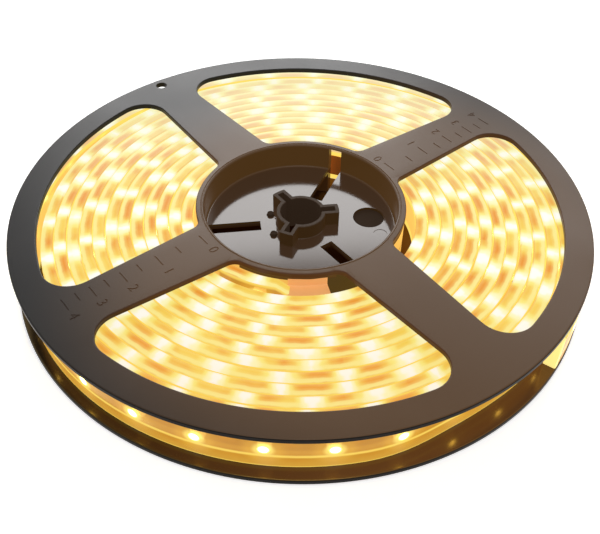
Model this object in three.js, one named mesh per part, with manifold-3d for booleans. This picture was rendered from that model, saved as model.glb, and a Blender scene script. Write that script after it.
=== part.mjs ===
// A reel of LED strip light, lying flat on its lower flange.
// The reel is two copies of one moulding, joined at mid height: each has a flange with four
// windows, half of a hollow hub, and a thin web with a keyed arbor boss. The strip is a flexible
// circuit with light emitters soldered to it, in the back of a clear silicone sleeve, wound as a
// spiral on the hub. Lengths are millimetres, angles are degrees, and +Z is the reel's axis.
import * as THREE from 'three';
import { mergeGeometries, mergeVertices } from 'three/addons/utils/BufferGeometryUtils.js';
import Module from 'manifold-3d';

const wasm = await Module();
wasm.setup();

// Reel
const REEL_R = 89;
const REEL_HEIGHT = 19.2;
const FLANGE_T = 1.8;
const FLANGE_EDGE = 0.5;
const PARTING_GAP = 0.3;
const DATUM_ANGLE = 128.1;

// Hub and web
const HUB_R = 32.6;
const HUB_WALL = 2.4;
const MOUTH_CHAMFER = 0.7;
const WEB_T = 0.8;

// Arbor boss with its key ways
const ARBOR_R = 6.5;
const ARBOR_WALL = 1.3;
const ARBOR_RISE = 4.8;
const KEY_COUNT = 3;
const KEY_W = 2.2;
const KEY_REACH = 11;
const KEY_WALL = 1.1;

// Windows between the spokes
const SPOKE_COUNT = 4;
const SPOKE_ROOT_W = 18.8;
const SPOKE_TIP_W = 14.6;
const RIM_W = 8.4;
const HUB_LAND = 0.2;
const WINDOW_TIP_FILLET = 8.5;
const WINDOW_ROOT_FILLET = 3.5;

// Slots through the web and up the hub wall
const SLOT_W = 4.4;
const SLOT_START_R = 12.8;
const SLOT_ROOF = 0.5;

// Holes and pegs
const RIM_HOLE_R = 2;
const RIM_HOLE_INSET = 4;
const WEB_HOLE_R = 5;
const WEB_HOLE_AT_R = 22;
const PEG_R = 1;
const PEG_AT_R = 10.4;
const PEG_SPREAD = 28;
const PEG_PROUD = 1;

// Strip section, measured outwards from its back
const SLEEVE_W = 12;
const SLEEVE_T = 3.6;
const SLEEVE_EDGE = 0.8;
const SLEEVE_FRONT = 0.8;
const CIRCUIT_W = 8;
const CIRCUIT_T = 0.4;
const END_CAP_T = 1.6;

// Winding, which fills the reel up to a margin inside its rim
const TURN_GAP = 0.35;
const RIM_MARGIN = 1.72;
const START_ANGLE = -86.4;
const FLARE = 1.3;
const FLARE_TURNS = 0.12;

// Emitters on the circuit
const EMITTER_PITCH = 17;
const EMITTER_LEAD = 13.8;
const EMITTER_L = 3.5;
const EMITTER_W = 2.8;
const EMITTER_H = 1.9;

// Adhesive tape that holds the strip's inner end
const TAPE_ARC = 20;
const TAPE_LEAD = 0.4;
const TAPE_T = 0.25;
const TAPE_OVERHANG = 4.2;

// Clearance between pieces that rest on each other, and facet fineness
const SEAT_GAP = 0.3;
const REVOLVE_STEPS = 60;
const TURN_STEPS = 28;
const PIN_STEPS = 12;
const ARC_TOLERANCE = 0.2;
const OVERCUT = 1;

// Sizes that follow from the ones above
const HALF_HEIGHT = REEL_HEIGHT / 2;
const FACE_Z = PARTING_GAP / 2;
const WEB_Z = FACE_Z + WEB_T;
const BOSS_Z = WEB_Z + ARBOR_RISE;
const FLANGE_Z = HALF_HEIGHT - FLANGE_T;
const HUB_BORE_R = HUB_R - HUB_WALL;
const BOSS_R = ARBOR_R + ARBOR_WALL;
const WINDOW_INNER_R = HUB_R + HUB_LAND;
const WINDOW_OUTER_R = REEL_R - RIM_W;
const PITCH = SLEEVE_T + TURN_GAP;
const SLEEVE_Z = FLANGE_T + SEAT_GAP;
const STRIP_AXIS_Z = SLEEVE_Z + SLEEVE_W / 2;
const STRIP_R = HUB_R + SEAT_GAP;
const TURNS = (REEL_R - RIM_MARGIN - SLEEVE_T - STRIP_R) / PITCH;

const { degToRad, smoothstep } = THREE.MathUtils;

function material(color, roughness, opacity = 1) {
  return new THREE.MeshStandardMaterial({
    color, roughness, metalness: 0, opacity, transparent: opacity < 1,
  });
}

// Turns a closed three.js geometry into a solid for joining and cutting.
function solid(geometry) {
  const bare = new THREE.BufferGeometry();
  bare.setAttribute('position', geometry.getAttribute('position'));
  bare.setIndex(geometry.getIndex());
  const merged = mergeVertices(bare, 1e-4);
  const vertProperties = new Float32Array(merged.getAttribute('position').array);
  const triVerts = new Uint32Array(merged.getIndex().array);
  return new wasm.Manifold(new wasm.Mesh({ numProp: 3, vertProperties, triVerts }));
}

function geometryOf(result) {
  const { vertProperties, triVerts } = result.getMesh();
  const geometry = new THREE.BufferGeometry();
  geometry.setAttribute('position', new THREE.BufferAttribute(vertProperties, 3));
  geometry.setIndex(new THREE.BufferAttribute(triVerts, 1));
  geometry.computeVertexNormals();
  return geometry;
}

function join(solids) {
  return solids.reduce((whole, piece) => whole.add(piece));
}

// Points along an arc, as many as keep each chord within ARC_TOLERANCE of it.
function arc(centre, radius, from, to) {
  const stepAngle = 2 * Math.acos(1 - ARC_TOLERANCE / radius);
  const steps = Math.max(3, Math.ceil(Math.abs(to - from) / stepAngle));
  return Array.from({ length: steps + 1 }, (_, i) => {
    const angle = from + (to - from) * i / steps;
    return new THREE.Vector2(Math.cos(angle), Math.sin(angle)).multiplyScalar(radius).add(centre);
  });
}

function prism(points, bottom, top) {
  const geometry = new THREE.ExtrudeGeometry(new THREE.Shape(points), {
    depth: top - bottom, bevelEnabled: false,
  });
  return solid(geometry.translate(0, 0, bottom));
}

// A block that lies along the direction at an angle, from one radius to another.
function radialBlock(angle, innerR, outerR, width, bottom, top) {
  const block = new THREE.BoxGeometry(outerR - innerR, width, top - bottom);
  block.translate((innerR + outerR) / 2, 0, (bottom + top) / 2);
  return solid(block.rotateZ(degToRad(angle)));
}

function pin(angle, atR, radius, bottom, top) {
  const cylinder = new THREE.CylinderGeometry(radius, radius, top - bottom, PIN_STEPS);
  cylinder.rotateX(Math.PI / 2).translate(atR, 0, (bottom + top) / 2);
  return solid(cylinder.rotateZ(degToRad(angle)));
}

function anglesFrom(first, count) {
  return Array.from({ length: count }, (_, i) => first + 360 * i / count);
}

// The fillet where a spoke's edge meets a window's arc, in the frame of a spoke along +X.
// side is -1 where the fillet lies inside the arc, and 1 where it lies outside it.
function cornerFillet(arcR, radius, side) {
  const slope = (SPOKE_TIP_W - SPOKE_ROOT_W) / 2 / (WINDOW_OUTER_R - WINDOW_INNER_R);
  const stretch = Math.hypot(1, slope);
  const lift = SPOKE_ROOT_W / 2 - slope * WINDOW_INNER_R + radius * stretch;
  const reach = arcR + side * radius;
  const root = Math.sqrt((stretch * reach) ** 2 - lift ** 2);
  const x = (root - lift * slope) / stretch ** 2;
  const centre = new THREE.Vector2(x, lift + slope * x);
  const toEdge = Math.atan2(-1, slope);
  const toArc = centre.angle() + (side > 0 ? Math.PI : 0);
  return { centre, radius, toEdge, toArc, bearing: centre.angle() };
}

// Half of a window's outline, from the middle of its outer arc to the middle of its inner arc.
function halfWindow(middle) {
  const origin = new THREE.Vector2();
  const tip = cornerFillet(WINDOW_OUTER_R, WINDOW_TIP_FILLET, -1);
  const root = cornerFillet(WINDOW_INNER_R, WINDOW_ROOT_FILLET, 1);
  return [
    ...arc(origin, WINDOW_OUTER_R, middle, tip.bearing).slice(0, -1),
    ...arc(tip.centre, tip.radius, tip.toArc, tip.toEdge),
    ...arc(root.centre, root.radius, root.toEdge + 2 * Math.PI, root.toArc),
    ...arc(origin, WINDOW_INNER_R, root.bearing, middle).slice(1),
  ];
}

function windowCut(spokeAngle) {
  const middle = Math.PI / SPOKE_COUNT;
  const near = halfWindow(middle);
  const mirror = (point) => {
    const angle = 2 * middle - point.angle();
    return new THREE.Vector2(Math.cos(angle), Math.sin(angle)).multiplyScalar(point.length());
  };
  const far = near.map(mirror).slice(1, -1).reverse();
  const turned = [...near, ...far].map((point) => point.rotateAround(
    new THREE.Vector2(), degToRad(spokeAngle)));
  return prism(turned, FLANGE_Z - OVERCUT, HALF_HEIGHT + OVERCUT);
}

// One turned profile: arbor boss, web, hub wall and flange of half a reel.
function revolvedHalf() {
  const profile = [
    [ARBOR_R, FACE_Z],
    [HUB_R, FACE_Z],
    [HUB_R, FLANGE_Z],
    [REEL_R - FLANGE_EDGE, FLANGE_Z],
    [REEL_R, FLANGE_Z + FLANGE_EDGE],
    [REEL_R, HALF_HEIGHT - FLANGE_EDGE],
    [REEL_R - FLANGE_EDGE, HALF_HEIGHT],
    [HUB_BORE_R + MOUTH_CHAMFER, HALF_HEIGHT],
    [HUB_BORE_R, HALF_HEIGHT - MOUTH_CHAMFER],
    [HUB_BORE_R, WEB_Z],
    [BOSS_R, WEB_Z],
    [BOSS_R, BOSS_Z],
    [ARBOR_R, BOSS_Z],
    [ARBOR_R, FACE_Z],
  ];
  const points = profile.map(([r, z]) => new THREE.Vector2(r, z));
  return solid(new THREE.LatheGeometry(points, REVOLVE_STEPS).rotateX(Math.PI / 2));
}

// The moulding that makes either half, with its flange up and the parting plane at z = 0.
// Its pegs and sockets are placed so that a copy turned over about DATUM_ANGLE joins with it.
function reelMoulding() {
  const keyAngles = anglesFrom(DATUM_ANGLE, KEY_COUNT);
  const halfStep = 180 / KEY_COUNT;
  const pegSide = DATUM_ANGLE - halfStep;
  const socketSide = DATUM_ANGLE + halfStep;
  const pegTop = -WEB_Z - PEG_PROUD;
  const added = [
    ...keyAngles.map((angle) => radialBlock(
      angle, ARBOR_R, KEY_REACH + KEY_WALL, KEY_W + 2 * KEY_WALL, FACE_Z, BOSS_Z)),
    ...[-PEG_SPREAD, PEG_SPREAD].map((turn) => pin(pegSide + turn, PEG_AT_R, PEG_R, pegTop, WEB_Z)),
  ];
  const removed = [
    pin(0, 0, ARBOR_R, FACE_Z - OVERCUT, BOSS_Z + OVERCUT),
    ...keyAngles.map((angle) => radialBlock(
      angle, 0, KEY_REACH, KEY_W, FACE_Z - OVERCUT, BOSS_Z + OVERCUT)),
    ...keyAngles.map((angle) => radialBlock(
      angle + halfStep, SLOT_START_R, WINDOW_INNER_R + OVERCUT, SLOT_W,
      FACE_Z - OVERCUT, HALF_HEIGHT - SLOT_ROOF)),
    ...anglesFrom(DATUM_ANGLE, SPOKE_COUNT).map(windowCut),
    ...[-PEG_SPREAD, PEG_SPREAD].map((turn) => pin(
      socketSide + turn, PEG_AT_R, PEG_R + SEAT_GAP, FACE_Z - OVERCUT, WEB_Z + OVERCUT)),
    pin(DATUM_ANGLE, REEL_R - RIM_HOLE_INSET, RIM_HOLE_R, FLANGE_Z - OVERCUT, HALF_HEIGHT + OVERCUT),
    pin(DATUM_ANGLE - 2 * halfStep, WEB_HOLE_AT_R, WEB_HOLE_R, FACE_Z - OVERCUT, WEB_Z + OVERCUT),
  ];
  return geometryOf(join([revolvedHalf(), ...added]).subtract(join(removed)));
}

// A flat spiral that grows clockwise, seen from above, and springs out a little at its end.
// Its steps are equal angles, so that the facets of neighbouring turns lie side by side.
class WindingCurve extends THREE.Curve {
  constructor({ radius, pitch = 0, turns, startAngle, flare = 0, z }) {
    super();
    Object.assign(this, { radius, pitch, turns, startAngle, flare, z });
  }

  getPoint(t, target = new THREE.Vector3()) {
    const turn = t * this.turns;
    const spring = this.flare * smoothstep(turn, this.turns - FLARE_TURNS, this.turns);
    const r = this.radius + this.pitch * turn + spring;
    const angle = degToRad(this.startAngle - 360 * turn);
    return target.set(r * Math.cos(angle), r * Math.sin(angle), this.z);
  }

  getUtoTmapping(u) {
    return u;
  }

  get steps() {
    return Math.ceil(this.turns * TURN_STEPS);
  }
}

const strip = new WindingCurve({
  radius: STRIP_R, pitch: PITCH, turns: TURNS, startAngle: START_ANGLE, flare: FLARE,
  z: STRIP_AXIS_Z,
});

// Sections lie across the winding: x runs down the strip's width, y outwards from its back.
function alongWinding(curve, points) {
  return new THREE.ExtrudeGeometry(new THREE.Shape(points), {
    steps: curve.steps, extrudePath: curve, bevelEnabled: false,
  });
}

function sleeveOutline() {
  const side = SLEEVE_W / 2;
  return [
    [-side, 0],
    [-side, SLEEVE_T - SLEEVE_EDGE],
    [-side + SLEEVE_EDGE, SLEEVE_T],
    [side - SLEEVE_EDGE, SLEEVE_T],
    [side, SLEEVE_T - SLEEVE_EDGE],
    [side, 0],
  ].map(([x, y]) => new THREE.Vector2(x, y));
}

// The sleeve is open at the back, where a channel holds the circuit and its emitters.
function sleeve() {
  const side = CIRCUIT_W / 2 + SEAT_GAP;
  const channel = [
    [side, 0],
    [side, SLEEVE_T - SLEEVE_FRONT],
    [-side, SLEEVE_T - SLEEVE_FRONT],
    [-side, 0],
  ].map(([x, y]) => new THREE.Vector2(x, y));
  return alongWinding(strip, [...sleeveOutline(), ...channel]);
}

// Turns wound before a length of strip is used up, from the area that the winding covers.
function turnsAtLength(length) {
  return (Math.sqrt(STRIP_R ** 2 + PITCH * length / Math.PI) - STRIP_R) / PITCH;
}

// An emitter stands on the ribbon's facet, square to the winding, with its foot in the ribbon.
function emitterBlock(turn) {
  const place = turn / TURNS * strip.steps;
  const step = Math.floor(place);
  const seat = strip.getPoint(step / strip.steps).lerp(
    strip.getPoint((step + 1) / strip.steps), place - step);
  const along = strip.getTangent(place / strip.steps);
  const foot = CIRCUIT_T / 2;
  const block = new THREE.BoxGeometry(EMITTER_L, EMITTER_H + foot, EMITTER_W);
  block.translate(0, foot + (EMITTER_H + foot) / 2, 0);
  block.rotateZ(Math.atan2(along.y, along.x));
  return block.translate(seat.x, seat.y, seat.z);
}

function flexCircuit() {
  const side = CIRCUIT_W / 2;
  const ribbon = alongWinding(strip, [
    [-side, 0],
    [-side, CIRCUIT_T],
    [side, CIRCUIT_T],
    [side, 0],
  ].map(([x, y]) => new THREE.Vector2(x, y)));
  const stripLength = Math.PI * TURNS * (2 * STRIP_R + PITCH * TURNS);
  const count = Math.floor((stripLength - EMITTER_LEAD) / EMITTER_PITCH);
  const blocks = Array.from({ length: count }, (_, i) => emitterBlock(
    turnsAtLength(EMITTER_LEAD + i * EMITTER_PITCH)));
  return geometryOf(solid(ribbon).add(solid(mergeGeometries(blocks))));
}

// A silicone plug that closes one end of the sleeve: side is -1 at the inner end, 1 at the outer.
function endCap(end, side) {
  const cap = new THREE.ExtrudeGeometry(new THREE.Shape(sleeveOutline()), {
    depth: END_CAP_T, bevelEnabled: false,
  });
  const place = strip.getPoint(end);
  const tangent = strip.getTangent(end);
  const down = new THREE.Vector3(0, 0, -1);
  const outwards = new THREE.Vector3().crossVectors(tangent, down);
  const start = side > 0 ? SEAT_GAP : -SEAT_GAP - END_CAP_T;
  place.addScaledVector(tangent, start);
  cap.applyMatrix4(new THREE.Matrix4().makeBasis(down, outwards, tangent).setPosition(place));
  return cap;
}

// The tape runs down the hub wall and bends out over the top of the first turn.
function retainingTape() {
  const arcTurns = TAPE_ARC / 360;
  const wallTop = REEL_HEIGHT - FLANGE_T - SEAT_GAP;
  const stripTop = SLEEVE_Z + SLEEVE_W + SEAT_GAP;
  const path = new WindingCurve({
    radius: HUB_R, turns: arcTurns, startAngle: START_ANGLE + TAPE_LEAD + TAPE_ARC / 2, z: 0,
  });
  const inner = SEAT_GAP;
  return alongWinding(path, [
    [-wallTop, inner],
    [-wallTop, inner + TAPE_T],
    [-stripTop - TAPE_T, inner + TAPE_T],
    [-stripTop - TAPE_T, inner + TAPE_OVERHANG],
    [-stripTop, inner + TAPE_OVERHANG],
    [-stripTop, inner],
  ].map(([x, y]) => new THREE.Vector2(x, y)));
}

const moulded = material(0x4a4038, 0.45);
const group = new THREE.Group();

function addPiece(name, geometry, finish) {
  const piece = new THREE.Mesh(geometry, finish);
  piece.name = name;
  group.add(piece);
  return piece;
}

const upper = addPiece('upper_half', reelMoulding(), moulded);
upper.position.z = HALF_HEIGHT;
const lower = addPiece('lower_half', reelMoulding(), moulded.clone());
lower.position.z = HALF_HEIGHT;
const flipAxis = new THREE.Vector3(Math.cos(degToRad(DATUM_ANGLE)), Math.sin(degToRad(DATUM_ANGLE)), 0);
lower.quaternion.setFromAxisAngle(flipAxis, Math.PI);

addPiece('silicone_sleeve', sleeve(), material(0xf2c14e, 0.3, 0.75));
addPiece('flex_circuit', flexCircuit(), material(0xf7f3e6, 0.5));
addPiece('inner_end_cap', endCap(0, -1), material(0xe8d9b0, 0.4));
addPiece('outer_end_cap', endCap(1, 1), material(0xe8d9b0, 0.4));
addPiece('retaining_tape', retainingTape(), material(0xc98a4a, 0.6));

export default group;
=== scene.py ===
"""Dresses a reel of LED strip light: two moulded halves, a lit silicone strip and its tape.

Lengths are metres in the part's own frame: the reel's axis is +Z, it lies on z = 0, and angles
are degrees measured from +X, seen from above. Every new piece is a surface worked out as whole
numpy arrays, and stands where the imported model's own node is.
"""

import logging
import math
from dataclasses import dataclass, field, replace
from enum import Enum
from typing import Iterable, Sequence

import bmesh
import bpy
import numpy as np
from mathutils import Matrix, Vector


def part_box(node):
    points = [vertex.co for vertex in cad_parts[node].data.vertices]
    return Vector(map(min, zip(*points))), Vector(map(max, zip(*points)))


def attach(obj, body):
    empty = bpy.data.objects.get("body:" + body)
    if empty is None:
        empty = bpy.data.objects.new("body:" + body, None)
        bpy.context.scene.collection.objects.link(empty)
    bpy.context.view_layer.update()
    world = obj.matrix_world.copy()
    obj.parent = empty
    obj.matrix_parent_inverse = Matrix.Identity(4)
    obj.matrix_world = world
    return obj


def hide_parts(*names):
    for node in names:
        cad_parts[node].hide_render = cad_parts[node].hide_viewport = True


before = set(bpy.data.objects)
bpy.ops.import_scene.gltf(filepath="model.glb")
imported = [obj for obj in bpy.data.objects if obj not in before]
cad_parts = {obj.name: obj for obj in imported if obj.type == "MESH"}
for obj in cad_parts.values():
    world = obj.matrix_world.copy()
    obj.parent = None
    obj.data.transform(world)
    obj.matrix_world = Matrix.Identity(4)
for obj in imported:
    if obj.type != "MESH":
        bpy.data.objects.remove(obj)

MM = 0.001
BODY = "root"
LOG = logging.getLogger("reel")
Colour = tuple[float, float, float, float]


class Node(Enum):
    """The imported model's nodes."""

    UPPER_HALF = "upper_half"
    LOWER_HALF = "lower_half"
    SLEEVE = "silicone_sleeve"
    CIRCUIT = "flex_circuit"
    INNER_CAP = "inner_end_cap"
    OUTER_CAP = "outer_end_cap"
    TAPE = "retaining_tape"


class Slot(Enum):
    """The record's material slots."""

    PLASTIC = "reel_plastic"
    SILICONE = "lit_silicone"
    CIRCUIT = "circuit"
    CAP = "silicone_cap"
    TAPE = "tan_tape"


def linear(red: float, green: float, blue: float) -> Colour:
    """Turns a colour given as 0 to 255 on screen into a linear RGBA colour.

    Args:
        red: Red as seen on screen.
        green: Green as seen on screen.
        blue: Blue as seen on screen.

    Returns:
        The same colour in linear light, opaque.
    """
    shares = [value / 255 for value in (red, green, blue)]
    lit = [s / 12.92 if s <= 0.04045 else ((s + 0.055) / 1.055) ** 2.4 for s in shares]
    return (*lit, 1.0)


GREY: list[Colour] = [(level / 10, level / 10, level / 10, 1.0) for level in range(11)]


def polar(radius: np.ndarray, degrees: np.ndarray) -> np.ndarray:
    """Points in the plane at given radii and bearings, as rows of x and y."""
    turn = np.radians(degrees)
    return np.stack([radius * np.cos(turn), radius * np.sin(turn)], axis=-1)


def arc(centre: Sequence[float], radius: float, start: float, end: float, steps: int) -> np.ndarray:
    """Points along a circular arc.

    Args:
        centre: The arc's centre in its plane.
        radius: The arc's radius.
        start: Bearing of the first point, in degrees.
        end: Bearing of the last point, in degrees.
        steps: Number of chords.

    Returns:
        An array of steps + 1 points.
    """
    return np.asarray(centre) + polar(np.full(steps + 1, radius), np.linspace(start, end, steps + 1))


def grid_quads(rows: int, columns: int, closed_rows: bool, closed_columns: bool) -> np.ndarray:
    """Corner numbers of the quads of a grid of points stored row after row.

    Args:
        rows: Number of rows of points.
        columns: Number of points in each row.
        closed_rows: Whether the last row joins the first.
        closed_columns: Whether the last column joins the first.

    Returns:
        An array with four corner numbers for each quad.
    """
    row = np.arange(rows if closed_rows else rows - 1)[:, None]
    column = np.arange(columns if closed_columns else columns - 1)[None, :]
    next_row = (row + 1) % rows
    next_column = (column + 1) % columns
    corners = [row * columns + column, next_row * columns + column,
               next_row * columns + next_column, row * columns + next_column]
    return np.stack([np.broadcast_to(c, (row.size, column.size)).ravel() for c in corners], axis=1)


def signed_volume(points: np.ndarray, faces: Iterable[Sequence[int]]) -> float:
    """Adds up the volume inside a closed surface, as tetrahedra from the origin to each face.

    Args:
        points: The surface's points.
        faces: The corner numbers of its faces.

    Returns:
        The volume, negative where the faces point inwards.
    """
    total = 0.0
    by_size: dict[int, list[Sequence[int]]] = {}
    for face in faces:
        by_size.setdefault(len(face), []).append(face)
    for size, group in by_size.items():
        corners = points[np.asarray(group)]
        for k in range(1, size - 1):
            cross = np.cross(corners[:, k], corners[:, k + 1])
            total += np.einsum("ij,ij->", corners[:, 0], cross) / 6
    return float(total)


@dataclass
class Surface:
    """A closed surface: its points, its faces, and for each face the number of its finish."""

    points: np.ndarray
    faces: list[tuple[int, ...]]
    finish: np.ndarray | None = None

    def outward(self) -> "Surface":
        """Turns the faces round where they point in.

        Returns:
            The surface itself.
        """
        if signed_volume(self.points, self.faces) < 0:
            self.faces = [tuple(reversed(face)) for face in self.faces]
        return self

    def moved(self, matrix: Matrix) -> "Surface":
        """Carries the surface elsewhere.

        Args:
            matrix: The turn and shift.

        Returns:
            A copy in the new place.
        """
        turn = np.array(matrix.to_3x3())
        points = self.points @ turn.T + np.array(matrix.translation)
        return Surface(points, list(self.faces), self.finish)

    @staticmethod
    def joined(parts: Sequence["Surface"]) -> "Surface":
        """Gathers several surfaces, each still a closed shell.

        Args:
            parts: The surfaces.

        Returns:
            One surface that holds them all.
        """
        faces: list[tuple[int, ...]] = []
        count = 0
        for part in parts:
            faces += [tuple(int(i) + count for i in face) for face in part.faces]
            count += len(part.points)
        return Surface(np.concatenate([part.points for part in parts]), faces)


def revolved(profile: np.ndarray, steps: int) -> Surface:
    """Turns a closed profile about the axis: at bearing a, point (r, z) goes to (r cos a, r sin a, z).

    Args:
        profile: Rows of radius and height, in order round the profile.
        steps: Number of bearings in the full turn.

    Returns:
        The closed ring that the profile sweeps.
    """
    flat = polar(profile[None, :, 0], np.arange(steps)[:, None] * 360 / steps)
    height = np.broadcast_to(profile[None, :, 1:], (steps, len(profile), 1))
    points = np.concatenate([flat, height], axis=2).reshape(-1, 3)
    quads = grid_quads(steps, len(profile), True, True)
    return Surface(points, [tuple(q) for q in quads.tolist()]).outward()


def stacked(outlines: Sequence[np.ndarray], heights: Sequence[float]) -> Surface:
    """Joins matching closed outlines at rising heights, with a flat face at each end.

    Args:
        outlines: Arrays of the same number of points, one for each height.
        heights: The height of each outline.

    Returns:
        The closed prism.
    """
    count = len(outlines[0])
    level = [np.column_stack([line, np.full(count, z)]) for line, z in zip(outlines, heights)]
    quads = grid_quads(len(outlines), count, False, True).tolist()
    ends = [tuple(range(count)), tuple(reversed(range((len(outlines) - 1) * count, len(outlines) * count)))]
    return Surface(np.concatenate(level), [tuple(q) for q in quads] + ends).outward()


def spread(outline: np.ndarray, distance: float) -> np.ndarray:
    """Moves each point of a closed outline outwards along the mean normal of its two sides.

    Args:
        outline: Rows of x and y.
        distance: How far the points move.

    Returns:
        The larger outline.
    """
    ahead = np.roll(outline, -1, axis=0) - outline
    ahead /= np.linalg.norm(ahead, axis=1, keepdims=True)
    mean = ahead + np.roll(ahead, 1, axis=0)
    mean /= np.linalg.norm(mean, axis=1, keepdims=True)
    normal = np.column_stack([mean[:, 1], -mean[:, 0]])
    x, y = outline.T
    area = np.sum(x * np.roll(y, -1) - y * np.roll(x, -1))
    return outline + math.copysign(distance, distance * area) * normal


def piece_from(surface: Surface, name: str, finishes: Sequence[bpy.types.Material]) -> bpy.types.Object:
    """Puts a surface into a mesh object at the origin.

    Args:
        surface: The points and faces.
        name: The piece's name.
        finishes: Materials, in the order of the surface's finish numbers.

    Returns:
        The new object, linked to the scene.
    """
    mesh = bpy.data.meshes.new(name)
    mesh.from_pydata(surface.points.tolist(), [], surface.faces)
    for finish in finishes:
        mesh.materials.append(finish)
    if surface.finish is not None:
        mesh.polygons.foreach_set("material_index", surface.finish.astype(np.int32))
    mesh.update()
    piece = bpy.data.objects.new(name, mesh)
    bpy.context.scene.collection.objects.link(piece)
    return piece


def smooth(piece: bpy.types.Object, crease: float = 32.0) -> None:
    """Shades a piece smooth except across edges sharper than the crease angle in degrees."""
    piece.data.shade_smooth()
    piece.data.set_sharp_from_angle(angle=math.radians(crease))


def boolean(piece: bpy.types.Object, tools: Sequence[Surface], operation: str) -> None:
    """Joins solids to a piece or cuts them from it, and keeps the result in its mesh.

    Args:
        piece: The piece to change.
        tools: Closed solids that may overlap one another.
        operation: UNION or DIFFERENCE.
    """
    for tool in tools:
        cutter = piece_from(tool, "cutter", [])
        change = piece.modifiers.new("change", "BOOLEAN")
        change.object = cutter
        change.operation = operation
        change.solver = "MANIFOLD"
        graph = bpy.context.evaluated_depsgraph_get()
        result = bpy.data.meshes.new_from_object(piece.evaluated_get(graph))
        piece.modifiers.clear()
        old = piece.data
        piece.data = result
        result.name = piece.name
        bpy.data.meshes.remove(old)
        bpy.data.meshes.remove(cutter.data)


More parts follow.
